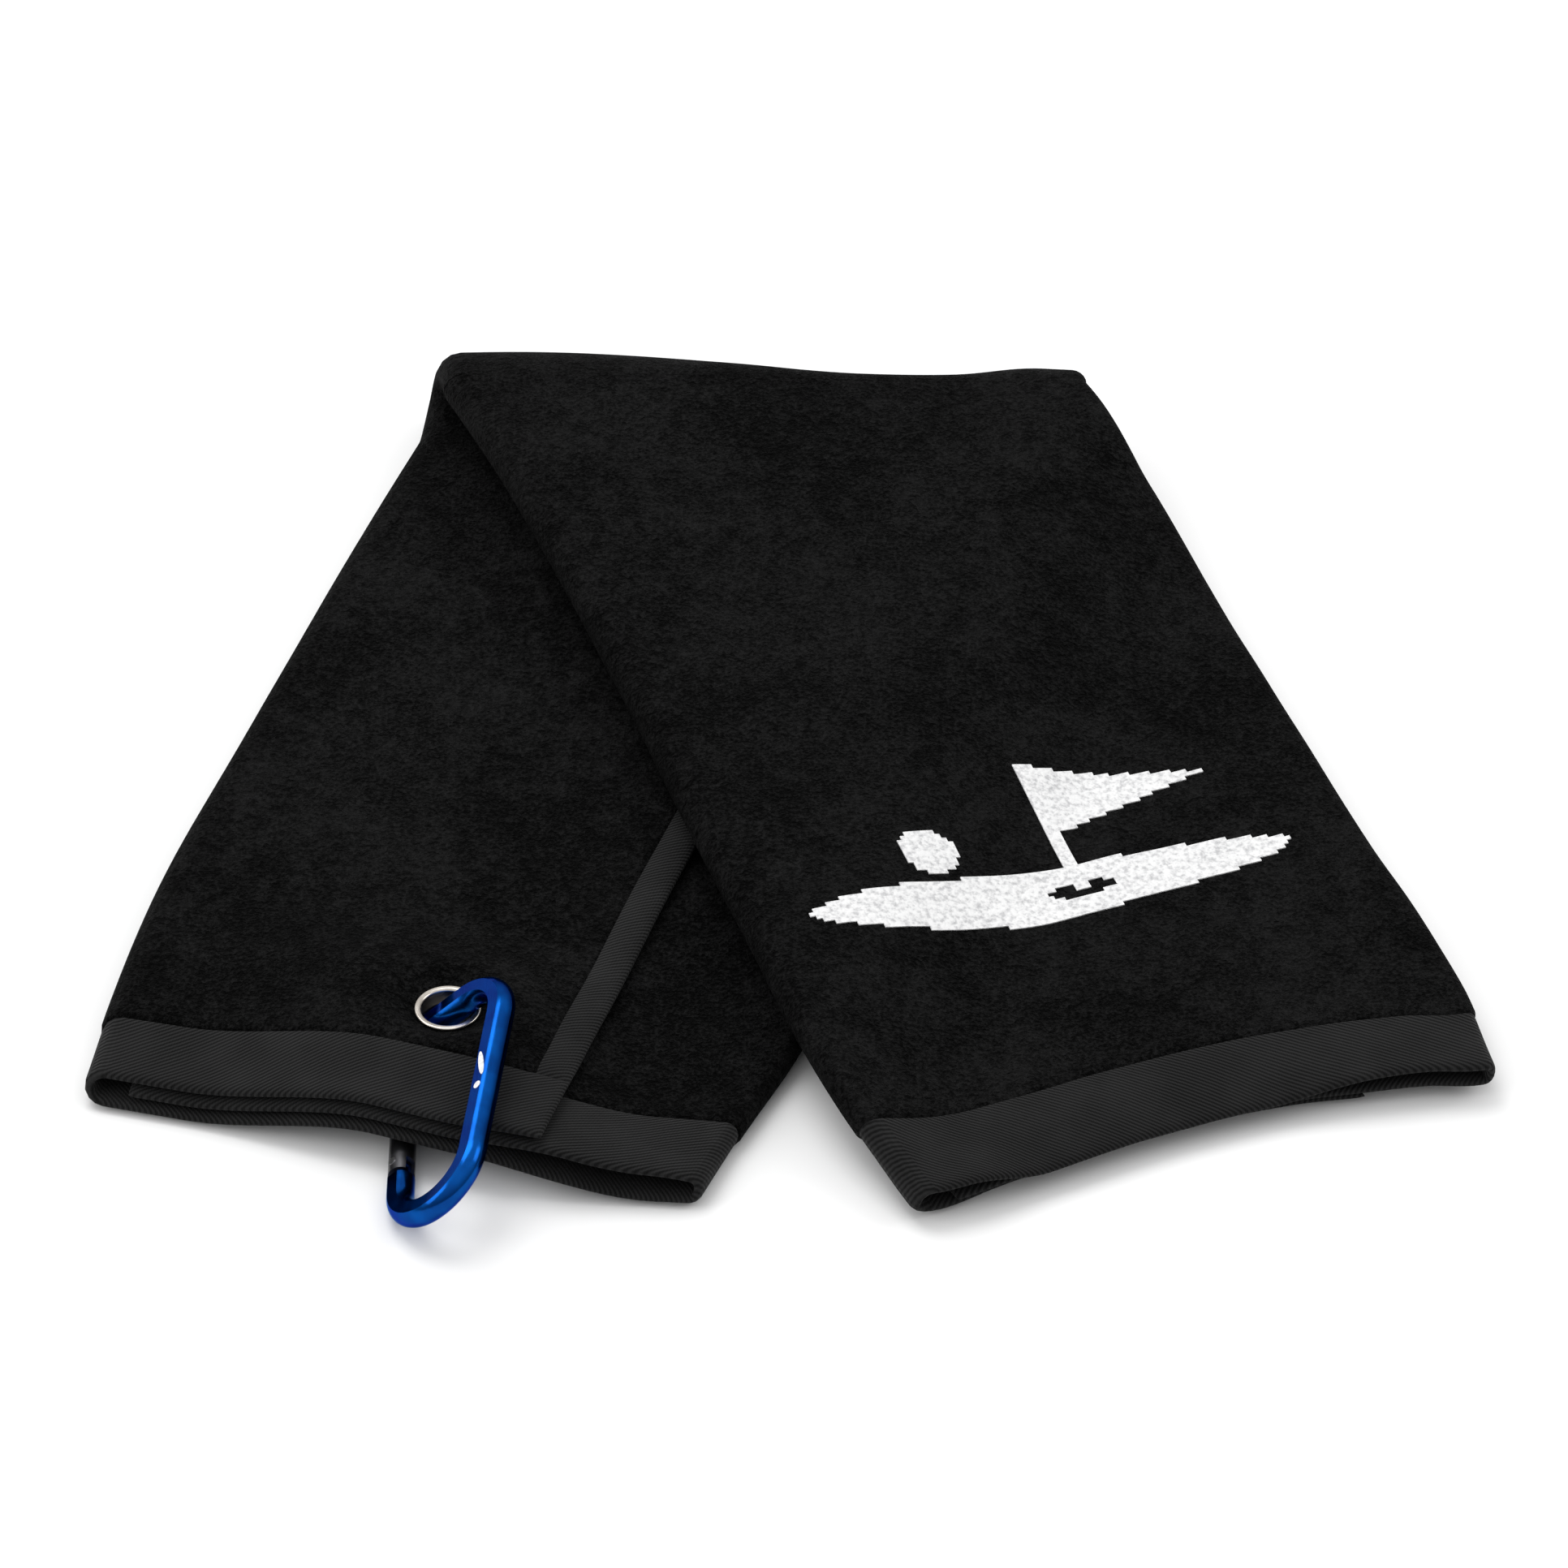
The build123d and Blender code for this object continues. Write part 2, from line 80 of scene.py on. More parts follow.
fold_joint = next(j for j in frame["joints"] if j["name"] == "half_fold_open")
clip_joint = next(j for j in frame["joints"] if j["name"] == "carabiner_swing")
fold_x, hinge_y, fold_radius = fold_joint["pos_m"]
first_layer = 1.75 * mm
inner_bend = fold_radius - first_layer - layer_pitch
fold_y = hinge_y - pi * inner_bend / 2
stack = 2 * (first_layer + layer_pitch)
upper_foot = 2 * fold_radius - stack
eyelet_x, eyelet_y, eyelet_z = clip_joint["pos_m"]
hump = eyelet_z - stack / 2
print("bend line", round(fold_x, 4), round(fold_y, 4), "hump", round(hump, 4))


# %% [markdown]
# ## Small tools for soft outlines
# Cloth has no straight lines. An edge is drawn through a few stations by a smooth curve, and
# a rise or a hollow is a smooth step, so that no crease appears where none was folded.

# %% Curves and steps
def step(x):
    """0 below 0, 1 above 1, and smooth between."""
    x = np.clip(x, 0, 1)
    return x * x * (3 - 2 * x)


def through(stations, values, at):
    """A smooth curve through a few given values, in millimetres, read at a length in metres."""
    stations = np.array(stations, float)
    values = np.array(values, float)
    slopes = np.gradient(values, stations)
    at = np.clip(np.asarray(at) / mm, stations[0], stations[-1])
    i = np.clip(np.searchsorted(stations, at) - 1, 0, len(stations) - 2)
    gap = stations[i + 1] - stations[i]
    t = (at - stations[i]) / gap
    curve = values[i] * (1 + 2 * t) * (1 - t) ** 2 + values[i + 1] * t * t * (3 - 2 * t)
    curve += gap * (slopes[i] * t * (1 - t) ** 2 - slopes[i + 1] * t * t * (1 - t))
    return curve * mm


def ripple(x, y, wave, seed):
    """Soft, uneven relief between 0 and 1, the same each time, with bumps about wave apart."""
    total = 0
    for k in range(5):
        angle = seed + 2.4 * k
        stretch = 2 * pi / (wave * (0.75 + 0.17 * k))
        total = total + np.sin((x * cos(angle) + y * sin(angle)) * stretch + 1.7 * seed * (k + 1))
    return 0.5 + total / 10


print("half way up a step", float(step(0.5)))

# %% [markdown]
# ## The outline of each half
# Each half has a direction, and its folded bundle has a left and a right edge and the outer
# flap's free edge between them. The edges bow and draw in a little towards the hem.

# %% Edges
def place(turn, across, along):
    """A point of a half's plan, in the model's frame."""
    x = fold_x + across * cos(turn) - along * sin(turn)
    y = fold_y - across * sin(turn) - along * cos(turn)
    return x, y


def rear_edges(along):
    left = through([-30, 40, 130, 215, 262, 290], [-81, -83.6, -85.4, -86, -82.4, -79.5], along)
    right = through([-30, 60, 200, 235, 262, 290], [80, 79.5, 77, 75, 70.8, 67.5], along)
    flap = through([-30, 60, 150, 190, 215, 290], [33, 34.5, 34, 32.2, 31.6, 31.5], along)
    return left, right, flap


def front_edges(along):
    left = through([-30, 30, 110, 200, 262, 294], [-76, -72, -71.5, -75, -75, -68], along)
    right = through([-30, 8, 40, 110, 200, 266, 294], [75, 78, 82, 81.2, 79.2, 78.2, 74.5], along)
    return left, right, left + outer_flap


print("widest", [round(float(np.ptp(edges(0.2)[:2])), 3) for edges in (rear_edges, front_edges)])

# %% [markdown]
# ## The height of each half
# The lower half lies on the table and rises over the carabiner's gate. The upper half lies on
# the lower one and slides down beside it onto the table. A little relief keeps both from
# looking ironed, and fades out at the cross fold, where the halves have to meet it.

# %% Undersides
settled = 45 * mm            # the relief is full this far from the cross fold
gate_x = eyelet_x - 10 * mm
hump_left = 6 * mm           # the hump is level this far to each side of the gate
hump_right = 14 * mm
hump_side = 46 * mm          # and falls away over this
hump_start = 206 * mm
hump_rise = 36 * mm
rear_side = 78 * mm          # half the lower half's width
slope_early = 4 * mm         # the upper half starts down this far inside that
slope_length = 52 * mm


def rear_lift(x, y, along):
    """Height of the lower half's underside: flat, with a hump over the gate."""
    left_side = step(1 + (x - gate_x + hump_left) / hump_side)
    right_side = step(1 - (x - gate_x - hump_right) / hump_side)
    over_gate = hump * left_side * right_side * step((along - hump_start) / hump_rise)
    away = step((fold_y - y) / settled)
    return over_gate + 0.7 * mm * away * ripple(x, y, 70 * mm, 1.3)


def sag(x):
    """How far the top of the cross fold sinks, which is most right of its middle."""
    return through([-85, -40, 0, 30, 62, 86], [0, 0, 1.0, 2.2, 2.4, 0.6], x - fold_x)


def front_lift(x, y, along):
    """Height of the upper half's underside: on the lower half, then down to the table."""
    past = (x - fold_x) * cos(rear_turn) - (y - fold_y) * sin(rear_turn) - rear_side
    start = step((fold_y - y) / (30 * mm))
    shelf = through([0, 40, 90, 180, 300], [17.2, 15.6, 13.2, 11.9, 11.6], along)
    foot = (upper_foot - sag(x)) * (1 - start) + shelf * start
    down = start * step((past + slope_early) / slope_length)
    away = step((fold_y - y) / settled)
    relief = 1.2 * mm * ripple(x, y, 62 * mm, 2.1) + 0.5 * mm * ripple(x, y, 27 * mm, 0.7)
    return foot * (1 - down) + away * relief


print("top of the cross fold", round(upper_foot + stack, 4))

# %% [markdown]
# ## The folded bundle
# Across the bundle the sheet runs from the outer flap's free edge to the left crease, back along
# the middle panel to the right crease, and back again along the inner flap. Three panels and
# two round creases are one row of points, and rows from the cross fold to the hem make the
# sheet. Near the hem the layers settle closer together, or gape where the towel fell open.

# %% The sheet's mid-surface
eyelet_reach = 17 * mm       # the pinch fades out this far from the eyelet's middle
eyelet_grip = 8 * mm         # and is full inside this
pinched_pitch = 0.93 * mm
inner_flap_short = 10 * mm   # the inner flap stops at least this far short of the left crease
press_start = 30 * mm        # the layers settle together from here to the hem's end
press_length = 28 * mm


class Half:
    """One half of the towel: how it turns, how its layers are stacked and where they end."""

    def __init__(self, turn, run, edges, lift, order, reach, squeeze, gape, eyelet):
        self.turn = turn
        self.run = run
        self.edges = edges
        self.lift = lift
        self.order = order
        self.reach = reach
        self.squeeze = squeeze
        self.gape = gape
        self.eyelet = eyelet

    def at(self, across, along, level):
        """The mid-surface point of one layer, over a place in the half's plan."""
        x, y = place(self.turn, across, along)
        near_end = step((along - self.run + press_start) / press_length)
        pitch = layer_pitch * (1 - self.squeeze * near_end)
        z = self.lift(x, y, along) + first_layer + level * pitch + self.gape(across, along, level)
        if self.eyelet:
            out = np.hypot(x - eyelet_x, y - eyelet_y)
            free = step((out - eyelet_grip) / (eyelet_reach - eyelet_grip))
            gripped = eyelet_z + (level - 1) * pinched_pitch
            z = gripped + (z - gripped) * free
        return np.stack([x, y, z], axis=-1)

    def sheet(self, panel, share, down):
        """Points of one panel: share goes from 0 to 1 across it, down from 0 at the fold to 1."""
        left, right, free_outer = self.edges(down * self.run)
        middle, inner, outer = self.order
        left_radius = abs(middle - outer) * layer_pitch / 2
        right_radius = abs(middle - inner) * layer_pitch / 2
        free_inner = right - (sheet_width - outer_flap - (right - left))
        free_inner = np.maximum(free_inner, left + inner_flap_short)
        left_bend = left + left_radius
        right_bend = right - right_radius
        turn = pi * share
        level = 0 * share + 0 * down
        if panel == "outer":
            across = free_outer + (left_bend - free_outer) * share
            level = level + outer
        elif panel == "left":
            across = left_bend - left_radius * np.sin(turn)
            level = level + (middle + outer) / 2 + (outer - middle) / 2 * np.cos(turn)
        elif panel == "middle":
            across = left_bend + (right_bend - left_bend) * share
            level = level + middle
        elif panel == "right":
            across = right_bend + right_radius * np.sin(turn)
            level = level + (middle + inner) / 2 + (middle - inner) / 2 * np.cos(turn)
        else:
            across = right_bend + (free_inner - right_bend) * share
            level = level + inner
        fold_line = -across * sin(self.turn) / cos(self.turn)
        along = fold_line + (self.run + self.reach(level, across) - fold_line) * down
        return self.at(across, along, level), along


print("a pinched layer is", pinched_pitch, "from the next")

# %% [markdown]
# ## Where the layers end, and how they gape
# Cut cloth is never quite square once it is folded: the end of each half bows in, its layers
# stop one short of another, and its mouth stands open where the towel fell.

# %% Ends and mouths
def rear_reach(level, across):
    """How far past its nominal end a layer of the lower half runs."""
    dip = through([-84, -20, 30, 52, 64, 76], [1, 2.5, 1.5, 4.5, 7, 9.5], across)
    return (1.5 - 1.5 * level) * mm - dip


def front_reach(level, across):
    """The upper half's end is bowed in, and its flaps stop short of its top panel."""
    dip = through([-73, -60, -45, 0, 32, 60, 76, 81], [6.5, 5.5, 6, 9.5, 8.5, 4, 0, 1.5], across)
    tucked = step((-40 * mm - across) / (26 * mm))
    level_ends = step((across - 10 * mm) / (40 * mm))
    return (2.2 - 1.2 * tucked - 1.2 * level_ends) * (level - 2) * mm - dip


def rear_gape(across, along, level):
    """The lower half's mouth: both flaps lift off the middle panel near the right crease."""
    mouth = step((along - 248 * mm) / (34 * mm))
    width = step((across - 8 * mm) / (30 * mm)) * step((80 * mm - across) / (24 * mm))
    return step(level) * mouth * width * 3.6 * mm


def front_gape(across, along, level):
    """The upper half's top panel stands off the flaps at both corners of its hem."""
    mouth = step((along - 262 * mm) / (30 * mm))
    left = step((across + 80 * mm) / (16 * mm)) * step((-34 * mm - across) / (22 * mm))
    right = step((across - 22 * mm) / (26 * mm)) * step((86 * mm - across) / (14 * mm))
    end = step((along - 272 * mm) / (20 * mm))
    droop = step((across + 60 * mm) / (26 * mm)) * step((58 * mm - across) / (30 * mm))
    return step(level - 1) * (mouth * (left * 3.2 + right * 3.4) - end * droop * 1.6) * mm


print("upper half's middle is drawn in", round(float(-front_reach(2, 0.0)), 4))

# %% [markdown]
# ## The two halves
# In the lower half the outer flap lies on top, and in the upper half it lies at the bottom,
# because the sheet was turned over at the cross fold.

# %% Lower and upper half
rear = Half(
    turn=rear_turn,
    run=rear_run,
    edges=rear_edges,
    lift=rear_lift,
    order=(0, 1, 2),
    reach=rear_reach,
    squeeze=0.22,
    gape=rear_gape,
    eyelet=True,
)
front = Half(
    turn=front_turn,
    run=front_run,
    edges=front_edges,
    lift=front_lift,
    order=(2, 1, 0),
    reach=front_reach,
    squeeze=0.48,
    gape=front_gape,
    eyelet=False,
)
print("halves turned", round(rear_turn, 3), round(front_turn, 3))


# %% [markdown]
# ## Cutting pieces out of the sheet
# A piece is a patch of the sheet with a first and last cut across it and along it. The rows and
# columns crowd together beside a free edge, so that the pile can round off there.

# %% Patches
outer_cut = outer_flap
middle_cut = 160 * mm
inner_cut = sheet_width - outer_cut - middle_cut
cell = 2.0 * mm
crease = 6 * mm              # cloth taken up by each round crease
edge_rows = np.array([0, 0.25, 0.6, 1.1, 1.8]) * mm


def stations(first, last, soft_start=False, soft_end=False, gap=cell):
    """Lengths from first to last, crowded together at an end that is a free edge."""
    low = first + (edge_rows[-1] if soft_start else 0)
    high = last - (edge_rows[-1] if soft_end else 0)
    even = np.linspace(low, high, max(2, int(round((high - low) / gap)) + 1))
    head = first + edge_rows[:-1] if soft_start else []
    tail = (last - edge_rows[:-1])[::-1] if soft_end else []
    return np.concatenate([head, even, tail])


print("cells", cell, "edge rows", edge_rows)

# %% [markdown]
# ## Columns and rows
# The columns are counted across the flat sheet, panel by panel, and the rows down a half. Where
# the two meet, the half says where that point of the cloth lies.

# %% Columns, rows and points
def across_sheet(first, last, soft_start=False, soft_end=False):
    """The columns between two cuts across the sheet, as (panel, share, width) triples."""
    columns = []
    start = 0.0
    for name, width, gap in (
        ("outer", outer_cut - crease, cell),
        ("left", crease, 0.9 * mm),
        ("middle", middle_cut, cell),
        ("right", crease, 0.6 * mm),
        ("inner", inner_cut - crease, cell),
    ):
        low = max(first, start)
        high = min(last, start + width)
        if high > low:
            begins = soft_start and low == first
            ends = soft_end and high == last
            marks = stations(low, high, begins, ends, gap)
            if columns:
                marks = marks[1:]
            columns += [(name, (w - start) / width, w) for w in marks]
        start += width
    return columns


def patch(half, columns, lengths):
    """Mid-surface points of a patch, as rows by columns, with the sheet's own coordinates."""
    down = lengths[:, None] / half.run
    blocks = []
    alongs = []
    for name in ("outer", "left", "middle", "right", "inner"):
        shares = np.array([share for panel, share, _ in columns if panel == name])
        if len(shares):
            points, along = half.sheet(name, shares[None, :] + 0 * down, down + 0 * shares)
            blocks.append(points)
            alongs.append(along)
    widths = np.array([w for _, _, w in columns])
    along = np.concatenate(alongs, axis=1)
    return np.concatenate(blocks, axis=1), np.stack([widths[None, :] + 0 * along, along], axis=2)


print("columns across the whole sheet", len(across_sheet(0.0, sheet_width)))

# %% [markdown]
# ## The cross fold
# Between the halves the cloth goes round half a circle. The outer layers go round a wider one
# than the inner layers, and the bend swells a little unevenly along its length.

# %% Cross fold
fold_turns = 25


def cross_fold(columns):
    """Mid-surface points of the cross fold, from the lower half's first row to the upper's."""
    below, _ = patch(rear, columns, np.array([0.0]))
    above, _ = patch(front, columns, np.array([0.0]))
    below = below[0]
    above = above[0]
    angle = np.linspace(0, pi, fold_turns)[:, None]
    share = angle / pi
    radius = (above[:, 2] - below[:, 2]) / 2
    middle = (above[:, 2] + below[:, 2]) / 2
    x = below[:, 0] + (above[:, 0] - below[:, 0]) * share
    swell = through([-86, -60, -10, 25, 50, 70, 84], [6, 6.5, 2, -3, -2.5, 0.5, -4.5], x - fold_x)
    y = fold_y + (radius + swell) * np.sin(angle)
    z = middle - radius * np.cos(angle)
    widths = np.array([w for _, _, w in columns])
    cut = np.stack([widths[None, :] + 0 * z, -radius * angle], axis=2)
    return np.stack([x, y, z], axis=2), cut


print("rows round the cross fold", fold_turns)

# %% [markdown]
# ## Giving the sheet its thickness
# The sheet's two faces stand off its mid-surface by half its thickness. Velour rounds off at a
# cut edge, so the thickness falls away there. The eyelet's hole is a ring of cells left out,
# with the cells beside it drawn onto a circle.

# %% Thickness
edge_fall = 0.94             # how far the squared thickness falls at the very edge


def rounded(columns_at, lengths_at, soft, full, roll=0.55):
    """Thickness over a patch: full inside, rounding off over roll times that at a soft edge."""
    first, last, top, bottom = soft
    shape = np.ones((len(lengths_at), len(columns_at)))
    for is_soft, distance in (
        (first, (columns_at - columns_at[0])[None, :]),
        (last, (columns_at[-1] - columns_at)[None, :]),
        (top, (lengths_at - lengths_at[0])[:, None]),
        (bottom, (lengths_at[-1] - lengths_at)[:, None]),
    ):
        if is_soft:
            inside = np.clip(distance / (roll * full), 0, 1)
            shape = shape * np.sqrt(1 - (1 - inside) ** 2 * edge_fall)
    return shape * full


def normals_of(points):
    rows_way = np.gradient(points, axis=0)
    columns_way = np.gradient(points, axis=1)
    normal = np.cross(columns_way, rows_way)
    return normal / np.maximum(np.linalg.norm(normal, axis=2, keepdims=True), 1e-12)


print("a cut edge keeps", round(float(np.sqrt(1 - edge_fall)), 2), "of the thickness")

# %% [markdown]
# ## Closing a sheet into a solid
# Two grids of points, one for each face, could be joined by hand with bridged edge loops. Here
# every cell that is kept gives a quad on each face, and every edge that only one kept cell uses
# gets a wall, so that holes and stepped outlines close by themselves.

# %% Closed mesh
crease_angle = radians(48)   # edges sharper than this stay sharp


def closed_mesh(name, top, under, cut, kept):
    """A closed piece between two grids, with the sheet's own coordinates as its UV map."""
    count = top.shape[0] * top.shape[1]
    corners = np.arange(count).reshape(top.shape[:2])
    quads = np.stack(
        [corners[:-1, :-1], corners[:-1, 1:], corners[1:, 1:], corners[1:, :-1]], axis=-1
    )[kept]
    edges = np.concatenate([quads[:, [k, (k + 1) % 4]] for k in range(4)])
    forward = edges[:, 0] * count + edges[:, 1]
    backward = edges[:, 1] * count + edges[:, 0]
    rim = edges[~np.isin(forward, backward)]
    walls = np.stack([rim[:, 1], rim[:, 0], rim[:, 0] + count, rim[:, 1] + count], axis=1)
    faces = np.concatenate([quads, quads[:, ::-1] + count, walls])
    vertices = np.concatenate([top.reshape(-1, 3), under.reshape(-1, 3)])
    used = np.zeros(len(vertices), bool)
    used[faces] = True
    faces = (np.cumsum(used) - 1)[faces]
    cut_at = np.tile(cut.reshape(-1, 2), (2, 1))[used]
    mesh = bpy.data.meshes.new(name)
    mesh.from_pydata(vertices[used].tolist(), [], faces.tolist())
    uv = mesh.uv_layers.new(name="sheet")
    uv.data.foreach_set("uv", cut_at[faces.ravel()].astype(np.float32).ravel())
    piece = bpy.data.objects.new(name, mesh)
    bpy.context.scene.collection.objects.link(piece)
    print(name, len(mesh.vertices), "vertices", len(mesh.polygons), "faces")
    return piece


def solid_cloth(name, points, thickness, cut, hole_radius=0.0):
    """Cloth of a given thickness around a mid-surface, with a round hole at the eyelet if wanted."""
    kept = np.ones((points.shape[0] - 1, points.shape[1] - 1), bool)
    if hole_radius:
        offset = points[:, :, :2] - np.array([eyelet_x, eyelet_y])
        out = np.linalg.norm(offset, axis=2)
        inside = out < hole_radius
        kept = ~(inside[:-1, :-1] & inside[1:, :-1] & inside[:-1, 1:] & inside[1:, 1:])
        scale = np.where(inside, hole_radius / np.maximum(out, 1e-6), 1.0)
        points = points.copy()
        points[:, :, :2] = np.array([eyelet_x, eyelet_y]) + offset * scale[:, :, None]
    depth = normals_of(points) * (thickness / 2)[:, :, None]
    piece = closed_mesh(name, points + depth, points - depth, cut, kept)
    bpy.ops.object.select_all(action="DESELECT")
    bpy.context.view_layer.objects.active = piece
    piece.select_set(True)
    bpy.ops.object.shade_smooth_by_angle(angle=crease_angle)
    return piece


# %% [markdown]
# ## The pile
# The velour ends where the hems begin. The lower half is held flat by the eyelet, so its three
# layers are pinched together round the hole.

# %% Velour pieces
tuck = 1.5 * mm              # a hem reaches this far under the pile
eyelet_hole = 7.5 * mm
pressed_pile = 0.86 * mm
pile_first = side_hem - tuck
pile_last = sheet_width - side_hem + tuck
pile_columns = across_sheet(pile_first, pile_last, soft_start=True, soft_end=True)
pile_widths = np.array([w for _, _, w in pile_columns])


def pinch(points, thickness, gripped):
    """The eyelet squeezes the cloth under its flange."""
    out = np.linalg.norm(points[:, :, :2] - np.array([eyelet_x, eyelet_y]), axis=2)
    free = step((out - eyelet_grip) / (0.7 * (eyelet_reach - eyelet_grip)))
    return gripped + (thickness - gripped) * free


def velour_half(name, half, hole_radius):
    lengths = stations(0.0, half.run - end_hem + tuck, soft_end=True)
    points, cut = patch(half, pile_columns, lengths)
    thickness = rounded(pile_widths, lengths, (True, True, False, True), pile)
    if hole_radius:
        thickness = pinch(points, thickness, pressed_pile)
    return solid_cloth(name, points, thickness, cut, hole_radius)


velour_rear = velour_half("velour_rear", rear, eyelet_hole)
velour_front = velour_half("velour_front", front, 0.0)
fold_points, fold_cut = cross_fold(pile_columns)
fold_depth = rounded(pile_widths, np.linspace(0, 1, fold_turns), (True, True, False, False), pile)
velour_fold = solid_cloth("velour_fold", fold_points, fold_depth, fold_cut)

# %% [markdown]
# ## The hems
# A towel's ends and sides are turned under and stitched flat, so they are thinner than the pile
# and show the ground weave. Each tucks a little way under the velour beside it.

# %% Hem pieces
rolled_hem = 3.3 * mm


def end_hem_piece(name, half):
    columns = across_sheet(0.0, sheet_width, soft_start=True, soft_end=True)
    widths = np.array([w for _, _, w in columns])
    lengths = stations(half.run - end_hem, half.run, True, True, gap=1.6 * mm)
    points, cut = patch(half, columns, lengths)
    thickness = rounded(widths, lengths, (True, True, True, True), hem_cloth, roll=0.9)
    return solid_cloth(name, points, thickness, cut)


def side_hem_piece(name, half, first, last):
    columns = across_sheet(first, last, soft_start=True, soft_end=True)
    widths = np.array([w for _, _, w in columns])
    if half is None:
        points, cut = cross_fold(columns)
        lengths = np.linspace(0, 1, fold_turns)
        soft = (True, True, False, False)
    else:
        lengths = stations(0.0, half.run - end_hem + tuck, soft_end=True)
        points, cut = patch(half, columns, lengths)
        soft = (True, True, False, True)
    thickness = rounded(widths, lengths, soft, rolled_hem, roll=1.2)
    return solid_cloth(name, points, thickness, cut)


hem_rear = end_hem_piece("hem_rear", rear)
hem_front = end_hem_piece("hem_front", front)
outer_side = (0.0, side_hem)
inner_side = (sheet_width - side_hem, sheet_width)
side_outer_rear = side_hem_piece("side_hem_of_outer_flap_rear", rear, *outer_side)
side_outer_fold = side_hem_piece("side_hem_of_outer_flap_fold", None, *outer_side)
side_outer_front = side_hem_piece("side_hem_of_outer_flap_front", front, *outer_side)
side_inner_rear = side_hem_piece("side_hem_of_inner_flap_rear", rear, *inner_side)
side_inner_fold = side_hem_piece("side_hem_of_inner_flap_fold", None, *inner_side)
side_inner_front = side_hem_piece("side_hem_of_inner_flap_front", front, *inner_side)

# %% [markdown]
# ## The woven motif
# The motif is a flag on a green, with a ball beside it. It is woven in, thread by thread, so
# its outline goes up in steps. Every thread crossing that is white is one small square, and the
# squares together are a thin sheet standing just proud of the pile.

# %% Motif drawing
thread = 1.25 * mm
motif_middle = 183 * mm      # along the upper half
motif_size = (128 * mm, 64 * mm)
green_low = -18 * mm         # the green's middle line, below the motif's middle
green_half = (62 * mm, 8.5 * mm)
pole_at = 8 * mm
pole_half = 2.3 * mm
pole_height = 44 * mm
cup_half = (9 * mm, 2.4 * mm)
flag_length = 45 * mm
flag_half = 12 * mm
flag_height = 32 * mm        # its middle, above the green's middle line
ball_at = (-26 * mm, 17 * mm)
ball_radius = 7 * mm


def is_white(u, v):
    """Whether the crossing at u across and v up from the motif's middle is white."""
    up = v - green_low
    green = (u / green_half[0]) ** 2 + (up / green_half[1]) ** 2 < 1
    cup = ((u - pole_at) / cup_half[0]) ** 2 + (up / cup_half[1]) ** 2 < 1
    pole = (abs(u - pole_at) < pole_half) & (up > 0) & (up < pole_height)
    share = (u - pole_at) / flag_length
    flag = (share > 0) & (share < 1) & (abs(up - flag_height) < flag_half * (1 - share))
    ball = (u - ball_at[0]) ** 2 + (up - ball_at[1]) ** 2 < ball_radius**2
    return (green & ~cup) | pole | flag | ball


print("threads across the motif", int(motif_size[0] / thread))

# %% [markdown]
# ## Weaving the motif in
# The squares follow the top of the upper half, so they are read off the same layer as the pile
# and stand on its surface.

# %% Motif piece
yarn_proud = 0.3 * mm
yarn_sunk = 0.5 * mm


def woven_piece(name):
    """The white crossings as one solid, following the top of the upper half."""
    across_count = int(motif_size[0] / thread)
    up_count = int(motif_size[1] / thread)
    u = (np.arange(across_count + 1) - across_count / 2) * thread
    v = (np.arange(up_count + 1) - up_count / 2) * thread
    white = is_white((u[:-1] + u[1:])[None, :] / 2, (v[:-1] + v[1:])[:, None] / 2)
    across = u[None, :] + 0 * v[:, None]
    along = motif_middle - v[:, None] + 0 * u[None, :]
    points = front.at(across, along, 2 + 0 * across)
    normal = normals_of(points)
    top = points + normal * (pile / 2 + yarn_proud)
    under = points + normal * (pile / 2 - yarn_sunk)
    return closed_mesh(name, top, under, np.stack([across, along], axis=2), white)


motif = woven_piece("woven_flag_motif")


# %% [markdown]
# ## Shader numbers
# Finishes are drawn with arithmetic. A Number is one shader value that can be added, multiplied
# and bent like any other number, so that a pattern reads as the sum that it is.

# %% Number
class Number:
    """A shader value that takes part in arithmetic."""

    def __init__(self, finish, socket):
        self.finish = finish
        self.socket = socket

    def maths(self, operation, *others):
        values = dict(enumerate((self, *others)))
        return self.finish.node("ShaderNodeMath", {"operation": operation}, values, 0)

    def __add__(self, other):
        return self.maths("ADD", other)

    __radd__ = __add__

    def __mul__(self, other):
        return self.maths("MULTIPLY", other)

    __rmul__ = __mul__

    def __sub__(self, other):
        return self.maths("SUBTRACT", other)

    def __rsub__(self, other):
        return self * -1 + other

    def sine(self):
        return self.maths("SINE")

    def between(self, low, high, to_low=0.0, to_high=1.0):
        """A smooth step from to_low below low to to_high above high."""
        return self.finish.node(
            "ShaderNodeMapRange",
            {"interpolation_type": "SMOOTHSTEP"},
            {"Value": self, "From Min": low, "From Max": high,
             "To Min": to_low, "To Max": to_high},
            "Result",
        )


print("a Number can add, subtract, multiply, take a sine and step")

# %% [markdown]
# ## Finishes
# A Finish is a material and the nodes that draw it. One method adds any node, from its kind,
# its settings and what goes into its sockets, and the others name the few kinds used here.

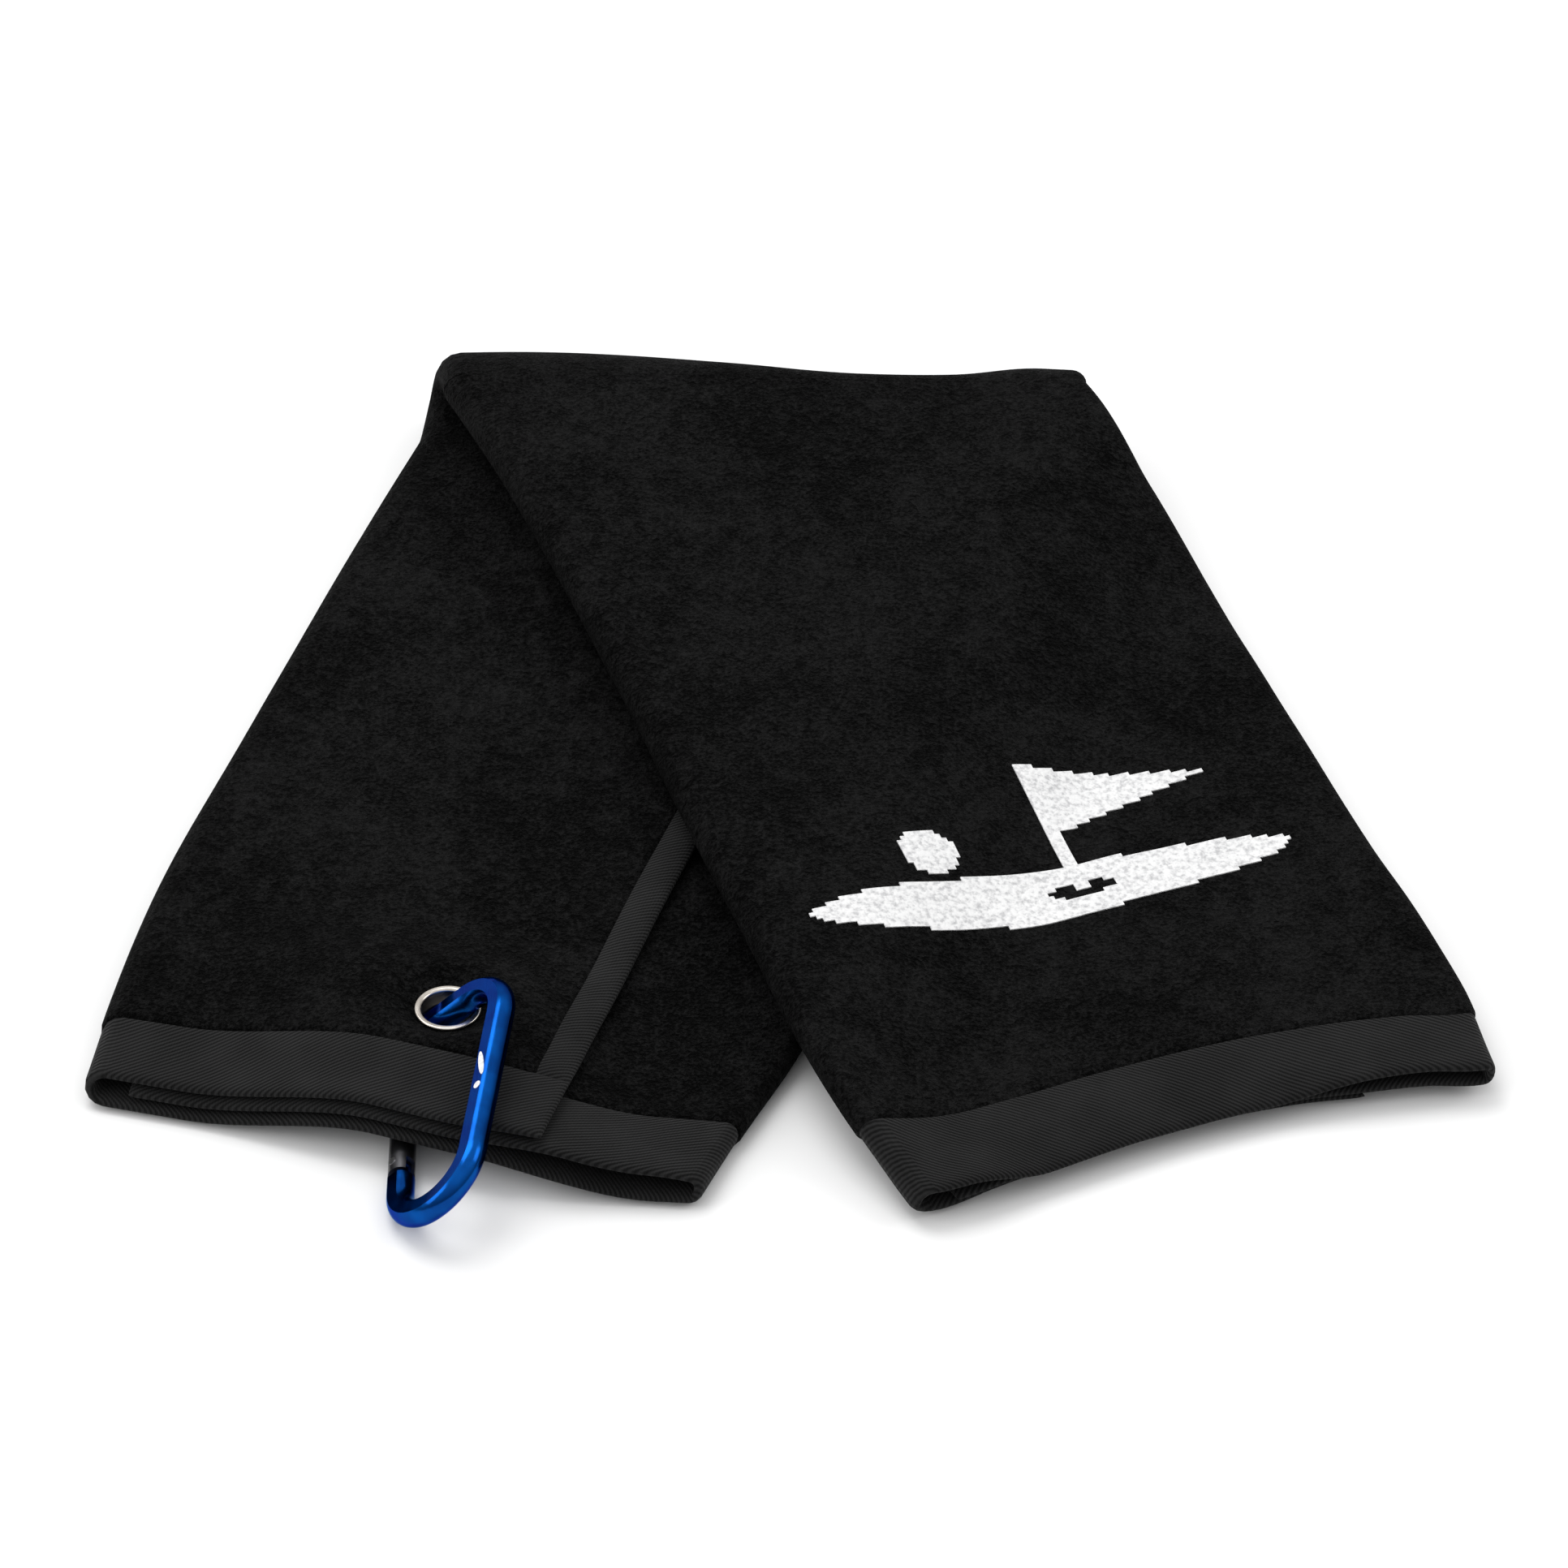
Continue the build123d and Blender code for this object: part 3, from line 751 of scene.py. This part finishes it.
# %% Finish
class Finish:
    """A material, or the studio's world, and the nodes that draw it."""

    def __init__(self, name, owners=bpy.data.materials, surface="Principled BSDF"):
        self.owner = owners.new(name)
        self.owner.use_nodes = True
        self.tree = self.owner.node_tree
        self.surface = self.tree.nodes[surface]

    def give(self, socket, value):
        """Links a Number to a socket, or sets a constant on it."""
        if isinstance(value, Number):
            self.tree.links.new(value.socket, socket)
        elif isinstance(value, tuple) and len(value) == 3 and socket.type == "RGBA":
            socket.default_value = (*value, 1.0)
        else:
            socket.default_value = value

    def node(self, kind, settings, inputs, output):
        """Adds a node. Its sockets are named, or numbered where several share a name."""
        node = self.tree.nodes.new(kind)
        for key, value in settings.items():
            setattr(node, key, value)
        for key, value in inputs.items():
            self.give(node.inputs[key], value)
        return Number(self, node.outputs[output])

    def place(self, kind="Object"):
        return self.node("ShaderNodeTexCoord", {}, {}, kind)

    def stretched(self, vector, scale, turn=0.0):
        inputs = {"Vector": vector, "Scale": scale, "Rotation": (0.0, 0.0, turn)}
        return self.node("ShaderNodeMapping", {}, inputs, "Vector")

    def noise(self, vector, size, detail=2.0, rough=0.5):
        """Noise whose lumps are about size metres apart, around a half."""
        inputs = {"Vector": vector, "Scale": 1.0 / size, "Detail": detail, "Roughness": rough}
        return self.node("ShaderNodeTexNoise", {}, inputs, "Fac")

    def mixed(self, share, first, second):
        """A blend of two colours: sockets 6 and 7 are the colours, and output 2 is theirs."""
        inputs = {0: share, 6: first, 7: second}
        return self.node("ShaderNodeMix", {"data_type": "RGBA"}, inputs, 2)

    def split(self, vector, axis):
        return self.node("ShaderNodeSeparateXYZ", {}, {"Vector": vector}, axis)

    def bump(self, height, depth, strength=1.0, under=None):
        """A bump whose height of 1 is depth metres, on top of another bump if there is one."""
        inputs = {"Height": height, "Distance": depth, "Strength": strength}
        if under is not None:
            inputs["Normal"] = under
        return self.node("ShaderNodeBump", {}, inputs, "Normal")

    def finish(self, **inputs):
        for key, value in inputs.items():
            self.give(self.surface.inputs[key.replace("_", " ")], value)
        return self.owner


print("a Finish can place, stretch, mix, split and bump")

# %% [markdown]
# ## Velour
# The loops are cut and brushed, so the surface is thousands of upright fibres. Lumps of a
# few fibres lean together and look lighter or darker, and wide soft patches show where a hand
# last brushed it; that lighter and darker look is painted into the colour, as painted sheen on
# the lumps and patches and painted shade between tufts and fibres. The fibre tips also catch
# light at a glancing angle, which is the shader's sheen.

# %% Velour finish
def velour_finish(name):
    made = Finish(name)
    at = made.place()
    patches = made.noise(at, 46 * mm, 3.0, 0.6).between(0.34, 0.68)
    brushed = made.stretched(at, (1.0, 0.7, 1.0), 0.5)
    lean = made.noise(brushed, 7 * mm, 3.0, 0.6).between(0.34, 0.68)
    tufts = made.noise(at, 2.6 * mm, 3.0, 0.65).between(0.36, 0.66)
    fibres = made.noise(at, 0.95 * mm, 2.0, 0.7).between(0.34, 0.68)
    # Colour from painted shade to the lit tone: painted sheen on the patches and leaning lumps,
    # painted shade between tufts and fibres.
    light = patches * 0.3 + lean * 0.22 + tufts * 0.3 + fibres * 0.5
    in_shade = (0.0001, 0.0001, 0.0001)
    in_light = (0.0105, 0.0105, 0.0106)
    colour = made.mixed(light.between(0.2, 1.25), in_shade, in_light)
    low = made.bump(lean, 0.6 * mm, 0.6)
    middle = made.bump(tufts, 0.6 * mm, 0.8, low)
    fine = made.bump(fibres, 0.35 * mm, 0.9, middle)
    return made.finish(
        Base_Color=colour,
        Roughness=tufts * 0.1 + 0.87,
        Normal=fine,
        Specular_IOR_Level=0.04,
        Sheen_Weight=0.01,
        Sheen_Roughness=0.4,
    )


velour = velour_finish("black velour")
print(velour.name, len(velour.node_tree.nodes), "nodes")

# %% [markdown]
# ## Ground weave
# The hems show a twill: each thread passes over two and under two, one step along in every row,
# which draws slanting ribs across the band. Its colour is painted lighter on the ribs and
# threads and darker between them, which is painted shade in the grooves.

# %% Twill finish
rib_pitch = 1.25 * mm
thread_pitch = 0.62 * mm


def twill_finish(name):
    made = Finish(name)
    at = made.place("UV")
    across = made.split(at, "X")
    along = made.split(at, "Y")
    wobble = made.noise(made.place(), 5 * mm, 1.0) * 0.5
    slant = across * 0.78 - along
    ribs = (slant * (2 * pi / rib_pitch) + wobble * 2.2).sine() * 0.5 + 0.5
    threads = (across * (2 * pi / thread_pitch) + wobble).sine() * 0.5 + 0.5
    worn = made.noise(made.place(), 14 * mm, 3.0).between(0.35, 0.7)
    fuzz = made.noise(made.place(), 0.7 * mm, 1.0)
    # Painted shade in the grooves, lighter on the lit rib tops; worn patches and fuzz are the
    # cloth's own tone.
    light = ribs * 0.6 + threads * 0.1 + worn * 0.2 + fuzz * 0.25
    painted_groove_shade = (0.001, 0.001, 0.001)
    lit_rib_tone = (0.0165, 0.0165, 0.0167)
    colour = made.mixed(light.between(0.1, 1.05), painted_groove_shade, lit_rib_tone)
    height = ribs * 0.7 + threads * 0.18 + fuzz * 0.3
    return made.finish(
        Base_Color=colour,
        Roughness=fuzz.between(0.3, 0.7, 0.78, 0.92),
        Normal=made.bump(height, 0.35 * mm, 0.9),
        Specular_IOR_Level=0.12,
        Sheen_Weight=0.04,
        Sheen_Roughness=0.5,
    )


twill = twill_finish("charcoal twill")
print(twill.name, len(twill.node_tree.nodes), "nodes")

# %% [markdown]
# ## White yarn
# The motif's thread is a bright white, and it is sheared like the rest, so it is dotted with tiny
# shadows between tufts.

# %% Motif finish
def yarn_finish(name):
    made = Finish(name)
    at = made.place()
    tufts = made.noise(at, 1.3 * mm, 2.0, 0.6)
    patches = made.noise(at, 12 * mm, 1.0)
    light = tufts.between(0.25, 0.62) * 0.8 + patches * 0.2
    colour = made.mixed(light, (0.42, 0.42, 0.43), (0.8, 0.8, 0.8))
    return made.finish(
        Base_Color=colour,
        Roughness=tufts.between(0.3, 0.7, 0.8, 0.95),
        Normal=made.bump(tufts, 0.5 * mm, 0.7),
        Specular_IOR_Level=0.15,
    )


yarn = yarn_finish("white yarn")
print(yarn.name, len(yarn.node_tree.nodes), "nodes")

# %% [markdown]
# ## Metals
# The carabiner is bent from rod, flattened and dyed blue: smooth, with faint drawing lines and
# a little wear. Its gate is plain dark metal, the eyelet is bright nickel and the pins are steel.

# %% Metal finishes
scratch = 0.03 * mm
dark_blue = (0.0006, 0.037, 0.2)
bright_blue = (0.001, 0.08, 0.36)
blue_edge = (0.1, 0.38, 0.75)


def metal_finish(name, dark, bright, rough, coat=0.0, edge=(1.0, 1.0, 1.0)):
    """Metal between two colours; edge tints what it reflects at a glancing angle."""
    made = Finish(name)
    at = made.place()
    cloudy = made.noise(at, 6 * mm, 2.0)
    drawn = made.noise(made.stretched(at, (1.0, 0.05, 1.0)), 0.35 * mm, 2.0)
    light = cloudy.between(0.3, 0.7) * 0.6 + drawn * 0.4
    colour = made.mixed(light, dark, bright)
    return made.finish(
        Base_Color=colour,
        Metallic=1.0,
        Roughness=cloudy.between(0.3, 0.7, rough * 0.85, rough * 1.2),
        Normal=made.bump(drawn, scratch, 0.25),
        Specular_Tint=edge,
        Coat_Weight=coat,
        Coat_Roughness=0.08,
    )


blue_metal = metal_finish("blue dyed metal", dark_blue, bright_blue, 0.19, 0.07, blue_edge)
gate_metal = metal_finish("dark gate metal", (0.1, 0.1, 0.11), (0.17, 0.17, 0.18), 0.34)
nickel = metal_finish("eyelet nickel", (0.42, 0.38, 0.34), (0.62, 0.58, 0.53), 0.24)
steel = metal_finish("pin steel", (0.45, 0.45, 0.46), (0.64, 0.64, 0.65), 0.3)
print("metals", [metal.name for metal in (blue_metal, gate_metal, nickel, steel)])

# %% [markdown]
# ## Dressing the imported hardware
# The eyelet, the carabiner, its gate and the small parts inside stay as they were packed, and
# each gets its finish.

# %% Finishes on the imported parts
hardware = {
    "eyelet": nickel,
    "eyelet_washer": nickel,
    "carabiner_body": blue_metal,
    "gate": gate_metal,
    "gate_hinge_pin": steel,
    "gate_latch_pin": steel,
    "gate_spring": steel,
    "spring_plunger": steel,
}
for node_name, material in hardware.items():
    node = frame["nodes"][node_name]
    node.data.materials.clear()
    node.data.materials.append(material)
print("dressed", len(hardware), "packed parts")

# %% [markdown]
# ## A printed mark
# The flat of the carabiner's spine carries a small white print. Here it is a plain slanted bar
# with a dot, a film of ink hardly thicker than paint.

# %% Ink
def ink_finish(name):
    made = Finish(name)
    worn = made.noise(made.place(), 0.9 * mm, 2.0)
    colour = made.mixed(worn.between(0.3, 0.6), (0.62, 0.63, 0.66), (0.85, 0.85, 0.85))
    return made.finish(Base_Color=colour, Roughness=worn.between(0.3, 0.7, 0.4, 0.6))


ink = ink_finish("white ink")
print(ink.name, len(ink.node_tree.nodes), "nodes")

# %% [markdown]
# ## Placing the print
# Each spot is a flat round disc, stretched to its length and width and then turned to lie on
# the leaning loop. The gate's hinge runs square to the loop, so it gives the loop's slant.

# %% Print
ink_film = 0.1 * mm
flat_out = 2.93 * mm         # the spine's flat face, from the loop's middle plane
gate_joint = next(j for j in frame["joints"] if j["name"] == "gate_open")
loop_normal = -Vector(gate_joint["axis"]).normalized()
loop_across = Vector((loop_normal.z, 0, -loop_normal.x))
loop_down = Vector((0, -1, 0))
loop_turn = Matrix((loop_down, loop_across, loop_normal)).transposed().to_4x4()


def print_spot(name, down, across, length, width, turn=0.0):
    """An oval of ink on the spine's flat, down and across the loop from the eyelet."""
    middle = Vector((eyelet_x, eyelet_y, eyelet_z))
    middle += loop_down * down + loop_across * across + loop_normal * flat_out
    bpy.ops.object.select_all(action="DESELECT")
    bpy.ops.mesh.primitive_cylinder_add(vertices=40, radius=0.5, depth=1)
    spot = bpy.context.active_object
    spot.name = name
    bpy.ops.object.mode_set(mode="EDIT")
    bpy.ops.mesh.select_all(action="SELECT")
    bpy.ops.transform.resize(value=(length, width, ink_film))
    bpy.ops.object.mode_set(mode="OBJECT")
    spot.data.transform(loop_turn @ Matrix.Rotation(turn, 4, "Z"))
    spot.data.transform(Matrix.Translation(middle))
    spot.data.materials.append(ink)
    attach(spot, "carabiner")
    print(name, [round(c, 4) for c in middle])


print_spot("printed_bar", 32 * mm, 15.3 * mm, 8.5 * mm, 1.7 * mm, turn=0.1)
print_spot("printed_dot", 38.8 * mm, 14.2 * mm, 2.1 * mm, 2.1 * mm)

# %% [markdown]
# ## Each piece on its body
# The halves ride on the two halves of the imported towel, and the pieces in the cross fold
# stay where they were built. Each stands for the imported piece that it is a softer version of.

# %% Riding and replacing
dressed = (
    (velour_rear, velour, "velour", "cloth_rear_half"),
    (velour_fold, velour, "velour", "cloth_top_fold"),
    (velour_front, velour, "velour", "cloth_front_half"),
    (hem_rear, twill, "woven_hem", "end_hem_rear"),
    (hem_front, twill, "woven_hem", "end_hem_front"),
    (side_outer_rear, twill, "woven_hem", "side_hem_outer_rear"),
    (side_outer_fold, twill, "woven_hem", "side_hem_outer_fold"),
    (side_outer_front, twill, "woven_hem", "side_hem_outer_front"),
    (side_inner_rear, twill, "woven_hem", "side_hem_inner_rear"),
    (side_inner_fold, twill, "woven_hem", "side_hem_inner_fold"),
    (side_inner_front, twill, "woven_hem", "side_hem_inner_front"),
    (motif, yarn, "motif", "woven_motif"),
)
for piece, material, slot_name, packed in dressed:
    piece.data.materials.append(material)
    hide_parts(packed)
    if packed.endswith("_fold"):
        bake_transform(piece)
    elif "front" in packed or piece == motif:
        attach(piece, "front_half")
    else:
        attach(piece, "rear_half")
print(len(dressed), "pieces in place")

# %% [markdown]
# ## The cut cloth
# All three cloth pieces are cut from parts of one sheet, and the hems are sewn to them.

# %% [markdown]
# ## Table
# The towel lies on a plain pale table, wide enough that its edge never shows.

# %% Table
bpy.ops.object.select_all(action="DESELECT")
bpy.ops.mesh.primitive_plane_add(size=14)
table = bpy.context.active_object
table.name = "table"
paint = Finish("pale table")
grain = paint.noise(paint.place(), 90 * mm, 3.0)
colour = paint.mixed(grain, (0.86, 0.86, 0.86), (0.9, 0.9, 0.9))
paint.finish(Base_Color=colour, Roughness=grain.between(0.3, 0.7, 0.7, 0.8))
table.data.materials.append(paint.owner)
print("table", table.dimensions.x, "metres wide")

# %% [markdown]
# ## Light
# Black cloth shows its shape only by soft light from several sides, so three wide lamps stand
# round the table, and the room is brighter overhead than at the sides.

# %% Lamps and room
def soft_light(name, where, size, watts):
    """A square lamp, aimed at the middle of the table."""
    lamp = bpy.data.lights.new(name, "AREA")
    lamp.energy = watts
    lamp.size = size
    holder = bpy.data.objects.new(name, lamp)
    holder.location = where
    holder.rotation_euler = (-Vector(where)).to_track_quat("-Z", "Y").to_euler()
    bpy.context.scene.collection.objects.link(holder)


soft_light("overhead", (-0.5, 0.6, 1.7), 1.1, 13)
soft_light("left fill", (-1.6, -0.5, 0.9), 0.9, 7)
soft_light("right fill", (1.5, 0.1, 1.1), 0.9, 6)
room = Finish("studio", bpy.data.worlds, "Background")
height = room.split(room.place("Generated"), "Z")
steps = {"Value": height, "From Min": 0.1, "From Max": 0.75, "To Min": 0.35, "To Max": 1.0}
bright = room.node("ShaderNodeMapRange", {}, steps, "Result")
bpy.context.scene.world = room.finish(Color=(1.0, 1.0, 1.0), Strength=bright)
print("lamps", len(bpy.data.lights))

# %% [markdown]
# ## Camera
# A long lens looks down at the towel from in front, so that its far edge is hardly smaller
# than its near one.

# %% Camera
lift_angle = radians(39.3)
stand_off = 2.149
target = Vector((fold_x + 6.7 * mm, fold_y - 130 * mm, 0.0))
towards_camera = Vector((0.0, -cos(lift_angle), sin(lift_angle)))
lens = bpy.data.cameras.new("camera")
lens.lens = 200
lens.clip_end = 50
camera = bpy.data.objects.new("camera", lens)
camera.location = target + towards_camera * stand_off
camera.rotation_euler = (-towards_camera).to_track_quat("-Z", "Y").to_euler()
bpy.context.scene.collection.objects.link(camera)
bpy.context.scene.camera = camera
print("camera at", [round(c, 3) for c in camera.location])
